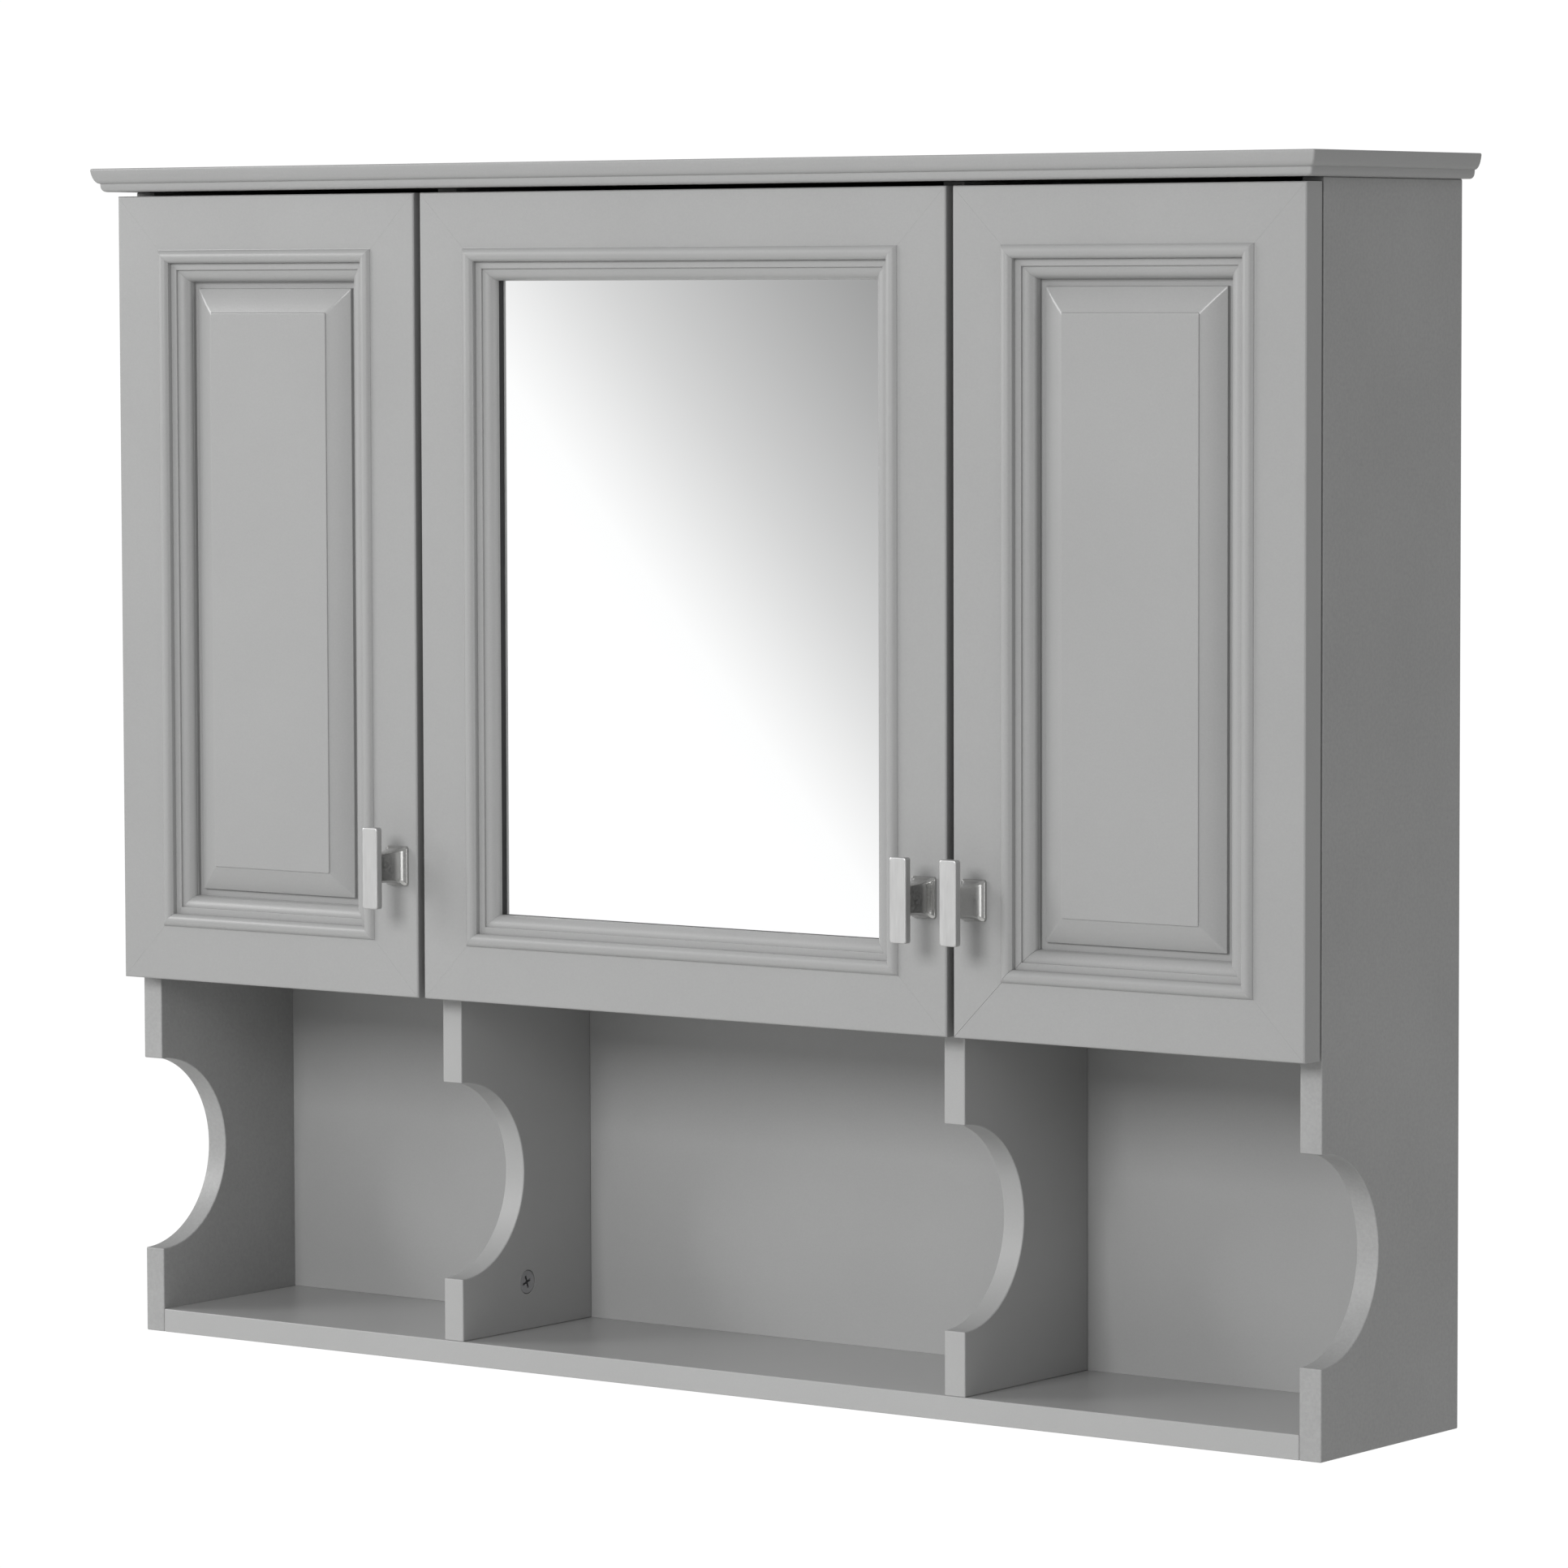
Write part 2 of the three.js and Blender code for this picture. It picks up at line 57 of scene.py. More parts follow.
# ------------------------------------------------------------ camera, stage
def make_camera():
    cam = bpy.data.cameras.new("camera")
    obj = bpy.data.objects.new("camera", cam)
    bpy.context.collection.objects.link(obj)
    yaw, pitch, roll = math.radians(36.47), math.radians(4.04), math.radians(0.165)
    fwd = Vector((-math.sin(yaw) * math.cos(pitch), math.cos(yaw) * math.cos(pitch), -math.sin(pitch)))
    right = fwd.cross(Vector((0, 0, 1))).normalized()
    down = fwd.cross(right)
    rx = math.cos(roll) * right + math.sin(roll) * down
    dy = -math.sin(roll) * right + math.cos(roll) * down
    m = Matrix((rx, -dy, -fwd)).transposed().to_4x4()
    m.translation = Vector((2.58926, -3.56431, 0.67640 - H0))
    obj.matrix_world = m
    cam.sensor_width = 36.0
    cam.sensor_fit = "HORIZONTAL"
    cam.lens = 161.71
    cam.clip_start = 0.05
    cam.clip_end = 200.0
    bpy.context.scene.camera = obj


def nodes_of(mat):
    mat.use_nodes = True
    nt = mat.node_tree
    nt.nodes.clear()
    return nt, nt.nodes, nt.links


def emission(name, color, strength):
    mat = bpy.data.materials.new(name)
    nt, n, l = nodes_of(mat)
    e = n.new("ShaderNodeEmission")
    e.inputs["Color"].default_value = (*color, 1)
    e.inputs["Strength"].default_value = strength
    o = n.new("ShaderNodeOutputMaterial")
    l.new(e.outputs[0], o.inputs["Surface"])
    return mat


def link_obj(name, mesh):
    o = bpy.data.objects.new(name, mesh)
    bpy.context.collection.objects.link(o)
    return o


def make_stage():
    # pale floor well below the cabinet
    bm = bmesh.new()
    bmesh.ops.create_circle(bm, cap_ends=True, segments=96, radius=4.2)
    me = bpy.data.meshes.new("stage_floor")
    bm.to_mesh(me)
    bm.free()
    floor = link_obj("stage_floor", me)
    floor.location = (0, 0, -H0 - 1.15)
    mat = bpy.data.materials.new("stage_floor")
    nt, n, l = nodes_of(mat)
    b = n.new("ShaderNodeBsdfPrincipled")
    b.inputs["Roughness"].default_value = 0.8
    noise = n.new("ShaderNodeTexNoise")
    noise.inputs["Scale"].default_value = 6.0
    ramp = n.new("ShaderNodeValToRGB")
    ramp.color_ramp.elements[0].color = (0.78, 0.78, 0.77, 1)
    ramp.color_ramp.elements[1].color = (0.84, 0.84, 0.83, 1)
    l.new(noise.outputs["Fac"], ramp.inputs["Fac"])
    l.new(ramp.outputs["Color"], b.inputs["Base Color"])
    o = n.new("ShaderNodeOutputMaterial")
    l.new(b.outputs[0], o.inputs["Surface"])
    me.materials.append(mat)
    # white backdrop, seen by the camera only
    bm = bmesh.new()
    bmesh.ops.create_uvsphere(bm, u_segments=48, v_segments=24, radius=40.0)
    me = bpy.data.meshes.new("stage_backdrop")
    bm.to_mesh(me)
    bm.free()
    dome = link_obj("stage_backdrop", me)
    me.materials.append(emission("stage_backdrop", (1, 1, 1), 1.03))
    dome.visible_diffuse = False
    dome.visible_glossy = False
    dome.visible_transmission = False
    dome.visible_shadow = False
    dome.visible_volume_scatter = False


def make_lights():
    w = bpy.data.worlds.new("studio")
    bpy.context.scene.world = w
    w.use_nodes = True
    bg = w.node_tree.nodes["Background"]
    bg.inputs["Color"].default_value = (1.0, 1.0, 1.0, 1)
    bg.inputs["Strength"].default_value = WORLD

    def area(name, loc, target, size, size_y, watts, glossy=True):
        d = bpy.data.lights.new(name, "AREA")
        d.shape = "RECTANGLE"
        d.size, d.size_y = size, size_y
        d.energy = watts
        o = bpy.data.objects.new(name, d)
        bpy.context.collection.objects.link(o)
        o.location = loc
        v = Vector(target) - Vector(loc)
        o.rotation_euler = v.to_track_quat("-Z", "Y").to_euler()
        o.visible_glossy = glossy
        return o

    centre = Vector((0, -0.1, -0.35))
    for name, az, el, size, watts in LIGHTS:
        a, e = math.radians(az), math.radians(el)
        v = Vector((-math.sin(a) * math.cos(e), -math.cos(a) * math.cos(e), math.sin(e)))
        area(name, centre + v * 5.0, centre, size, size, watts)


def make_mirror_card():
    """Soft gradient card in front of the cabinet, seen only by reflection."""
    card_y = -3.0
    # corners cover what the mirror shows of the front left
    bm = bmesh.new()
    pts = [(-2.75, card_y, -1.15), (-1.6, card_y, -1.15), (-1.6, card_y, 0.3), (-2.75, card_y, 0.3)]
    bm.faces.new([bm.verts.new(p) for p in pts])
    me = bpy.data.meshes.new("stage_card")
    bm.to_mesh(me)
    bm.free()
    card = link_obj("stage_card", me)
    mat = bpy.data.materials.new("stage_card")
    nt, n, l = nodes_of(mat)
    tc = n.new("ShaderNodeTexCoord")
    mp = n.new("ShaderNodeMapping")
    mp.vector_type = "POINT"
    sep = n.new("ShaderNodeSeparateXYZ")
    l.new(tc.outputs["Object"], sep.inputs[0])
    # signed distance across the diagonal, in metres on the card
    mx = n.new("ShaderNodeMath"); mx.operation = "MULTIPLY"; mx.inputs[1].default_value = CARD[0]
    mz = n.new("ShaderNodeMath"); mz.operation = "MULTIPLY"; mz.inputs[1].default_value = CARD[1]
    ad = n.new("ShaderNodeMath"); ad.operation = "ADD"
    a2 = n.new("ShaderNodeMath"); a2.operation = "ADD"; a2.inputs[1].default_value = CARD[2]
    l.new(sep.outputs["X"], mx.inputs[0])
    l.new(sep.outputs["Z"], mz.inputs[0])
    l.new(mx.outputs[0], ad.inputs[0])
    l.new(mz.outputs[0], ad.inputs[1])
    l.new(ad.outputs[0], a2.inputs[0])
    ramp = n.new("ShaderNodeValToRGB")
    els = ramp.color_ramp.elements
    stops = CARD_STOPS
    while len(els) < len(stops):
        els.new(0.5)
    for e, (p, v) in zip(els, stops):
        e.position = p
        e.color = (v, v, v, 1)
    l.new(a2.outputs[0], ramp.inputs["Fac"])
    e = n.new("ShaderNodeEmission")
    l.new(ramp.outputs["Color"], e.inputs["Color"])
    e.inputs["Strength"].default_value = 1.0
    o = n.new("ShaderNodeOutputMaterial")
    l.new(e.outputs[0], o.inputs["Surface"])
    me.materials.append(mat)
    card.visible_camera = False
    card.visible_diffuse = False
    card.visible_shadow = False
    card.visible_transmission = False
    card.visible_volume_scatter = False


WORLD = 0.445
# soft boxes five metres off: name, degrees to the cabinet's left of straight ahead, degrees up, size, watts
LIGHTS = [
    ("front", 0, 22, 1.7, 144.0),
    ("left", 58, 18, 1.7, 88.0),
    ("far_left", 76, 20, 1.7, 34.0),
    ("right", -75, 4, 1.7, 23.0),
    ("low", 0, -25, 1.7, 16.0),
]
# brightness falls off across the diagonal: s = x cos 42 + z sin 42
CARD = (math.cos(math.radians(42)) / 0.55, math.sin(math.radians(42)) / 0.55, 1.95 / 0.55)
CARD_STOPS = [(0.0, 1.06), (0.113, 1.04), (0.222, 0.925), (0.333, 0.805), (0.442, 0.697), (0.551, 0.606),
              (0.66, 0.528), (0.769, 0.457), (0.878, 0.398), (1.0, 0.335)]


# ------------------------------------------------------------ materials
def grey_paint(name, base, rough, peel=0.35, peel_scale=750.0, tone=0.02, soft=0.25):
    """Sprayed satin paint: fine orange peel, a slow waviness under it, and a
    little unevenness in tone and gloss."""
    mat = bpy.data.materials.new(name)
    nt, n, l = nodes_of(mat)
    tc = n.new("ShaderNodeTexCoord")
    b = n.new("ShaderNodeBsdfPrincipled")
    big = n.new("ShaderNodeTexNoise")
    big.inputs["Scale"].default_value = 7.0
    big.inputs["Detail"].default_value = 4.0
    big.inputs["Roughness"].default_value = 0.55
    fleck = n.new("ShaderNodeTexNoise")
    fleck.inputs["Scale"].default_value = peel_scale * 1.2
    fleck.inputs["Detail"].default_value = 2.0
    l.new(tc.outputs["Object"], big.inputs["Vector"])
    l.new(tc.outputs["Object"], fleck.inputs["Vector"])
    # wide ranges, so that nothing clips into an outline
    lo = tuple(c * (1 - 2.4 * tone) for c in base)
    hi = tuple(c * (1 + 2.4 * tone) for c in base)
    r1 = n.new("ShaderNodeValToRGB")
    r1.color_ramp.elements[0].position = 0.0
    r1.color_ramp.elements[1].position = 1.0
    r1.color_ramp.elements[0].color = (*lo, 1)
    r1.color_ramp.elements[1].color = (*hi, 1)
    l.new(big.outputs["Fac"], r1.inputs["Fac"])
    r2 = n.new("ShaderNodeValToRGB")
    r2.color_ramp.elements[0].position = 0.0
    r2.color_ramp.elements[1].position = 1.0
    v0, v1 = 1 - tone * 3.2, 1.0 + tone * 1.6
    r2.color_ramp.elements[0].color = (v0, v0, v0, 1)
    r2.color_ramp.elements[1].color = (v1, v1, v1, 1)
    l.new(fleck.outputs["Fac"], r2.inputs["Fac"])
    mix = n.new("ShaderNodeMix")
    mix.data_type = "RGBA"
    mix.blend_type = "MULTIPLY"
    mix.inputs["Factor"].default_value = 1.0
    l.new(r1.outputs["Color"], mix.inputs["A"])
    l.new(r2.outputs["Color"], mix.inputs["B"])
    l.new(mix.outputs["Result"], b.inputs["Base Color"])
    rr = n.new("ShaderNodeMapRange")
    rr.inputs["From Min"].default_value = 0.0
    rr.inputs["From Max"].default_value = 1.0
    rr.inputs["To Min"].default_value = rough - 0.04
    rr.inputs["To Max"].default_value = rough + 0.04
    l.new(big.outputs["Fac"], rr.inputs["Value"])
    l.new(rr.outputs["Result"], b.inputs["Roughness"])
    orange = n.new("ShaderNodeTexNoise")
    orange.inputs["Scale"].default_value = peel_scale
    orange.inputs["Detail"].default_value = 3.0
    orange.inputs["Roughness"].default_value = 0.5
    l.new(tc.outputs["Object"], orange.inputs["Vector"])
    wave = n.new("ShaderNodeTexNoise")
    wave.inputs["Scale"].default_value = 38.0
    wave.inputs["Detail"].default_value = 2.0
    l.new(tc.outputs["Object"], wave.inputs["Vector"])
    b1 = n.new("ShaderNodeBump")
    b1.inputs["Strength"].default_value = soft
    b1.inputs["Distance"].default_value = 0.0004
    l.new(wave.outputs["Fac"], b1.inputs["Height"])
    b2 = n.new("ShaderNodeBump")
    b2.inputs["Strength"].default_value = peel
    b2.inputs["Distance"].default_value = 0.00012
    l.new(orange.outputs["Fac"], b2.inputs["Height"])
    l.new(b1.outputs["Normal"], b2.inputs["Normal"])
    l.new(b2.outputs["Normal"], b.inputs["Normal"])
    b.inputs["IOR"].default_value = 1.46
    o = n.new("ShaderNodeOutputMaterial")
    l.new(b.outputs[0], o.inputs["Surface"])
    return mat


def metal(name, base, rough, brush=None, brush_scale=(1, 1, 1), bump=0.15, spots=0.0):
    """Metal with brushed grain stretched along one axis, or a fine cast skin."""
    mat = bpy.data.materials.new(name)
    nt, n, l = nodes_of(mat)
    tc = n.new("ShaderNodeTexCoord")
    mp = n.new("ShaderNodeMapping")
    mp.inputs["Scale"].default_value = brush_scale
    l.new(tc.outputs["Object"], mp.inputs["Vector"])
    g = n.new("ShaderNodeTexNoise")
    g.inputs["Scale"].default_value = brush or 900.0
    g.inputs["Detail"].default_value = 4.0
    g.inputs["Roughness"].default_value = 0.6
    l.new(mp.outputs["Vector"], g.inputs["Vector"])
    b = n.new("ShaderNodeBsdfPrincipled")
    b.inputs["Metallic"].default_value = 1.0
    r = n.new("ShaderNodeValToRGB")
    r.color_ramp.elements[0].position = 0.3
    r.color_ramp.elements[1].position = 0.7
    r.color_ramp.elements[0].color = (*(c * 0.94 for c in base), 1)
    r.color_ramp.elements[1].color = (*(min(1.0, c * 1.04) for c in base), 1)
    l.new(g.outputs["Fac"], r.inputs["Fac"])
    l.new(r.outputs["Color"], b.inputs["Base Color"])
    mr = n.new("ShaderNodeMapRange")
    mr.inputs["From Min"].default_value = 0.3
    mr.inputs["From Max"].default_value = 0.7
    mr.inputs["To Min"].default_value = rough - 0.05
    mr.inputs["To Max"].default_value = rough + 0.07
    l.new(g.outputs["Fac"], mr.inputs["Value"])
    l.new(mr.outputs["Result"], b.inputs["Roughness"])
    bp = n.new("ShaderNodeBump")
    bp.inputs["Strength"].default_value = bump
    bp.inputs["Distance"].default_value = 0.00005
    l.new(g.outputs["Fac"], bp.inputs["Height"])
    l.new(bp.outputs["Normal"], b.inputs["Normal"])
    o = n.new("ShaderNodeOutputMaterial")
    l.new(b.outputs[0], o.inputs["Surface"])
    return mat


def mirror_material():
    mat = bpy.data.materials.new("mirror_silver")
    nt, n, l = nodes_of(mat)
    tc = n.new("ShaderNodeTexCoord")
    g = n.new("ShaderNodeTexNoise")
    g.inputs["Scale"].default_value = 30.0
    g.inputs["Detail"].default_value = 5.0
    l.new(tc.outputs["Object"], g.inputs["Vector"])
    mr = n.new("ShaderNodeMapRange")
    mr.inputs["From Min"].default_value = 0.35
    mr.inputs["From Max"].default_value = 0.8
    mr.inputs["To Min"].default_value = 0.0
    mr.inputs["To Max"].default_value = 0.02
    l.new(g.outputs["Fac"], mr.inputs["Value"])
    b = n.new("ShaderNodeBsdfPrincipled")
    b.inputs["Base Color"].default_value = (0.95, 0.955, 0.955, 1)
    b.inputs["Metallic"].default_value = 1.0
    l.new(mr.outputs["Result"], b.inputs["Roughness"])
    o = n.new("ShaderNodeOutputMaterial")
    l.new(b.outputs[0], o.inputs["Surface"])
    return mat


def hardboard_material():
    mat = bpy.data.materials.new("hardboard_fibre")
    nt, n, l = nodes_of(mat)
    tc = n.new("ShaderNodeTexCoord")
    v = n.new("ShaderNodeTexNoise")
    v.inputs["Scale"].default_value = 420.0
    v.inputs["Detail"].default_value = 6.0
    v.inputs["Roughness"].default_value = 0.7
    l.new(tc.outputs["Object"], v.inputs["Vector"])
    r = n.new("ShaderNodeValToRGB")
    r.color_ramp.elements[0].position = 0.3
    r.color_ramp.elements[1].position = 0.72
    r.color_ramp.elements[0].color = (0.10, 0.062, 0.036, 1)
    r.color_ramp.elements[1].color = (0.235, 0.155, 0.095, 1)
    l.new(v.outputs["Fac"], r.inputs["Fac"])
    b = n.new("ShaderNodeBsdfPrincipled")
    b.inputs["Roughness"].default_value = 0.62
    l.new(r.outputs["Color"], b.inputs["Base Color"])
    bp = n.new("ShaderNodeBump")
    bp.inputs["Strength"].default_value = 0.4
    bp.inputs["Distance"].default_value = 0.0002
    l.new(v.outputs["Fac"], bp.inputs["Height"])
    l.new(bp.outputs["Normal"], b.inputs["Normal"])
    o = n.new("ShaderNodeOutputMaterial")
    l.new(b.outputs[0], o.inputs["Surface"])
    return mat


GREY = (0.296, 0.297, 0.296)
PAINT = grey_paint("satin_grey_paint", GREY, 0.31)
SIDE = grey_paint("satin_grey_side", GREY, 0.44, peel=1.0, peel_scale=430.0, tone=0.05)
# interior boards: the paint grey made 7% lighter, painted light that lifts the shaded inside of the bays
BOARD = grey_paint("grey_board", tuple(1.07 * c for c in GREY), 0.5, peel=0.3, peel_scale=900.0)
# bottom board: the paint grey made 13% lighter, painted light and sheen on its top inside the bays
SHELF = grey_paint("bottom_grey_with_painted_sheen", tuple(1.13 * c for c in GREY), 0.315, peel=0.15, peel_scale=900.0)
MIRROR = mirror_material()
HARDBOARD = hardboard_material()
# near-black paint for the strip under the mirror door's lip: painted shadow of the gap between lip and glass
PAINTED_SHADE = grey_paint("black_painted_shadow_strip", (0.012, 0.012, 0.013), 0.6, peel=0.3, peel_scale=1500.0)
NICKEL = metal("brushed_nickel_bar", (0.498, 0.498, 0.496), 0.48, brush=260.0, brush_scale=(9, 9, 0.35), bump=0.35)
POLISHED = metal("polished_nickel_stem", (0.50, 0.50, 0.49), 0.2, brush=700.0, brush_scale=(1, 1, 1), bump=0.06)
STEEL = metal("nickel_plated_steel", (0.6, 0.6, 0.59), 0.27, brush=500.0, brush_scale=(1, 1, 1), bump=0.12)
ZINC = metal("die_cast_zinc", (0.42, 0.42, 0.43), 0.45, brush=1100.0, brush_scale=(1, 1, 1), bump=0.35)
SCREW = metal("zinc_plated_screw", (0.55, 0.55, 0.56), 0.3, brush=1200.0, brush_scale=(1, 1, 1), bump=0.1)


# ------------------------------------------------------------ mesh helpers
def mesh_from(name, verts, faces):
    me = bpy.data.meshes.new(name)
    me.from_pydata([tuple(v) for v in verts], [], [tuple(f) for f in faces])
    me.validate()
    bm = bmesh.new()
    bm.from_mesh(me)
    bmesh.ops.remove_doubles(bm, verts=bm.verts, dist=1e-7)
    bmesh.ops.recalc_face_normals(bm, faces=bm.faces)
    bm.to_mesh(me)
    bm.free()
    return me


def applied(obj):
    """The object's mesh with its modifiers applied."""
    dg = bpy.context.evaluated_depsgraph_get()
    dg.update()
    me = bpy.data.meshes.new_from_object(obj.evaluated_get(dg))
    old = obj.data
    obj.modifiers.clear()
    obj.data = me
    if old.users == 0:
        bpy.data.meshes.remove(old)
    return obj


def bevel(obj, width, segments=3, angle=30.0):
    m = obj.modifiers.new("edge", "BEVEL")
    m.width = width
    m.segments = segments
    m.limit_method = "ANGLE"
    m.angle_limit = math.radians(angle)
    m.use_clamp_overlap = True
    m.harden_normals = False
    return applied(obj)


def cut(obj, cutters):
    for c in cutters:
        m = obj.modifiers.new("cut", "BOOLEAN")
        m.operation = "DIFFERENCE"
        m.solver = "EXACT"
        m.object = c
    applied(obj)
    for c in cutters:
        me = c.data
        bpy.data.objects.remove(c)
        if me.users == 0:
            bpy.data.meshes.remove(me)
    return obj


def shade(obj, angle=32.0):
    me = obj.data
    bm = bmesh.new()
    bm.from_mesh(me)
    lim = math.radians(angle)
    for f in bm.faces:
        f.smooth = True
    for e in bm.edges:
        if len(e.link_faces) == 2:
            e.smooth = e.calc_face_angle(0.0) < lim
        else:
            e.smooth = False
    bm.to_mesh(me)
    bm.free()


def weighted(obj):
    m = obj.modifiers.new("normals", "WEIGHTED_NORMAL")
    m.keep_sharp = True
    m.weight = 60
    return applied(obj)


def finish_piece(obj, mat, node=None, body=None, angle=32.0, weigh=True):
    obj.data.materials.clear()
    obj.data.materials.append(mat)
    shade(obj, angle)
    if weigh:
        weighted(obj)
    if node:
        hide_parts(node)
        body = BODY_OF[node]
    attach(obj, body)
    return obj


def new_obj(name, verts, faces):
    return link_obj(name, mesh_from(name, verts, faces))


def arc(cx, cy, rx, ry, a0, a1, n):
    return [(cx + rx * math.cos(math.radians(a0 + (a1 - a0) * i / n)),
             cy + ry * math.sin(math.radians(a0 + (a1 - a0) * i / n))) for i in range(n + 1)]


def prism(name, outline, place, a, b):
    """Closed outline run from a to b; place(u, v, w) gives the point."""
    n = len(outline)
    verts = [place(u, v, a) for u, v in outline] + [place(u, v, b) for u, v in outline]
    faces = [tuple(range(n)), tuple(range(n, 2 * n))]
    faces += [(i, (i + 1) % n, n + (i + 1) % n, n + i) for i in range(n)]
    return new_obj(name, verts, faces)


def lathe(name, profile, place, seg=64, closed=True):
    """(r, h) profile turned about h; place(a, b, h) gives the point."""
    verts, faces, rings = [], [], []
    for r, h in profile:
        if r < 1e-9:
            rings.append([len(verts)])
            verts.append(place(0.0, 0.0, h))
        else:
            s = len(verts)
            rings.append(list(range(s, s + seg)))
            verts += [place(r * math.cos(2 * math.pi * i / seg), r * math.sin(2 * math.pi * i / seg), h) for i in range(seg)]
    for k in range(len(rings) - 1):
        p, q = rings[k], rings[k + 1]
        for i in range(seg):
            j = (i + 1) % seg
            if len(p) == 1 and len(q) == 1:
                continue
            if len(p) == 1:
                faces.append((p[0], q[i], q[j]))
            elif len(q) == 1:
                faces.append((p[i], q[0], p[j]))
            else:
                faces.append((p[i], q[i], q[j], p[j]))
    return new_obj(name, verts, faces)


def loft(name, rings, place, cap=True):
    n = len(rings[0][1])
    verts = [place(a, b, h) for h, pts in rings for a, b in pts]
    faces = []
    for k in range(len(rings) - 1):
        for i in range(n):
            j = (i + 1) % n
            faces.append((k * n + i, k * n + j, (k + 1) * n + j, (k + 1) * n + i))
    if cap:
        faces.append(tuple(range(n)))
        faces.append(tuple(range((len(rings) - 1) * n, len(rings) * n)))
    return new_obj(name, verts, faces)


def rounded(w, h, r, n=6):
    out = []
    for cx, cz, a0 in ((w / 2 - r, h / 2 - r, 0), (-w / 2 + r, h / 2 - r, 90), (-w / 2 + r, -h / 2 + r, 180), (w / 2 - r, -h / 2 + r, 270)):
        out += arc(cx, cz, r, r, a0, a0 + 90, n)
    return out


# ------------------------------------------------------------ carcass
def box_mm(node):
    lo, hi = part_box(node)
    return [c / MM for c in lo], [c / MM for c in hi]


def board(node, mat, width=0.7, name=None, cutters=()):
    (x0, y0, z0), (x1, y1, z1) = box_mm(node)
    o = prism(name or node + "_board", [(x0, z0), (x1, z0), (x1, z1), (x0, z1)], lambda u, v, w: (u * MM, w * MM, v * MM), y0, y1)
    if cutters:
        cut(o, [c() for c in cutters])
    bevel(o, width * MM)
    return finish_piece(o, mat, node)


def cylinder_y(r, y0, y1, x, z, seg=48):
    return lathe("cutter", [(0, y0), (r, y0), (r, y1), (0, y1)], lambda a, b, h: ((x + a) * MM, h * MM, (z + b) * MM), seg)


def cylinder_x(r, x0, x1, y, z, seg=48):
    return lathe("cutter", [(0, x0), (r, x0), (r, x1), (0, x1)], lambda a, b, h: (h * MM, (y + a) * MM, (z + b) * MM), seg)


CUT_R, CUT_Z, FRONT = 62.0, 116.3 - 708.0, -152.0
CAM_Y, CAM_Z = -86.9, 45.5 - 708.0


def upright(node, mat, cam_side=0):
    (x0, y0, z0), (x1, y1, z1) = box_mm(node)
    pts = [(y1, z0), (y1, z1), (y0, z1)] + arc(FRONT, CUT_Z, CUT_R, CUT_R, 90, -90, 72) + [(y0, z0)]
    o = prism(node + "_board", pts, lambda u, v, w: (w * MM, u * MM, v * MM), x0, x1)
    bevel(o, 0.8 * MM, 3, 40.0)
    if cam_side:
        face = x1 if cam_side > 0 else x0
        a, b = (face - 12.5, face + 1) if cam_side > 0 else (face - 1, face + 12.5)
        cut(o, [cylinder_x(7.75, a, b, CAM_Y, CAM_Z)])
    return finish_piece(o, mat, node, angle=30)


def cam_disc(node, face, d):
    """Die-cast cam: domed rim, cross slot."""
    prof = [(0, 0.55), (2.0, 0.55), (5.6, 0.55), (6.2, 0.35), (7.2, 0.3), (7.5, 0.6), (7.5, 12.0), (7.2, 12.3), (0, 12.3)]
    place = lambda a, b, h: ((face - d * h) * MM, (CAM_Y + a) * MM, (CAM_Z + b) * MM)
    o = lathe(node + "_disc", prof, place, 64)
    cutters = []
    for ang in (0.35, 0.35 + math.pi / 2):
        c = []
        for s in (-0.6, 3.0):
            half, tip = (0.85, 4.5) if s < 0 else (0.55, 3.4)
            ring = [(-tip, -half), (tip, -half), (tip, half), (-tip, half)]
            c.append((s, [(a * math.cos(ang) - b * math.sin(ang), a * math.sin(ang) + b * math.cos(ang)) for a, b in ring]))
        cutters.append(loft("cutter", c, place))
    cut(o, cutters)
    bevel(o, 0.12 * MM, 2, 35)
    return finish_piece(o, ZINC, node)


def top_board(node):
    (x0, y0, z0), (x1, y1, z1) = box_mm(node)
    half_low, front_low = 454.5, -174.6
    prof = [(0.0, 0.0), (0.5, 0.0), (1.2, 0.12), (2.0, 0.45), (2.7, 1.0), (3.25, 1.9), (3.6, 3.0), (3.72, 4.2), (3.74, 5.1),
            (3.85, 5.32), (4.2, 5.42), (4.7, 5.55), (5.3, 5.95), (6.0, 6.7), (6.65, 7.75), (7.2, 9.0), (7.62, 10.4), (7.95, 11.8),
            (8.15, 13.0), (8.25, 13.8), (8.22, 14.3), (8.0, 14.72), (7.6, 14.94), (7.0, 15.0)]
    rings = []
    for o, z in prof:
        hx, fy = half_low + o, front_low - o
        r = 1.3
        pts = [(-hx + 0.0, y1 - 0.0)]
        pts += arc(-hx + r, fy + r, r, r, 180, 270, 5)
        pts += arc(hx - r, fy + r, r, r, 270, 360, 5)
        pts += [(hx, y1)]
        rings.append((z0 + z, pts))
    o = loft(node + "_board", rings, lambda a, b, h: (a * MM, b * MM, h * MM))
    return finish_piece(o, PAINT, node, angle=38)


# ------------------------------------------------------------ doors
DOOR_T = 17.0
FRAME_W, REB_E, REB_D = 54.8, 48.0, 12.6


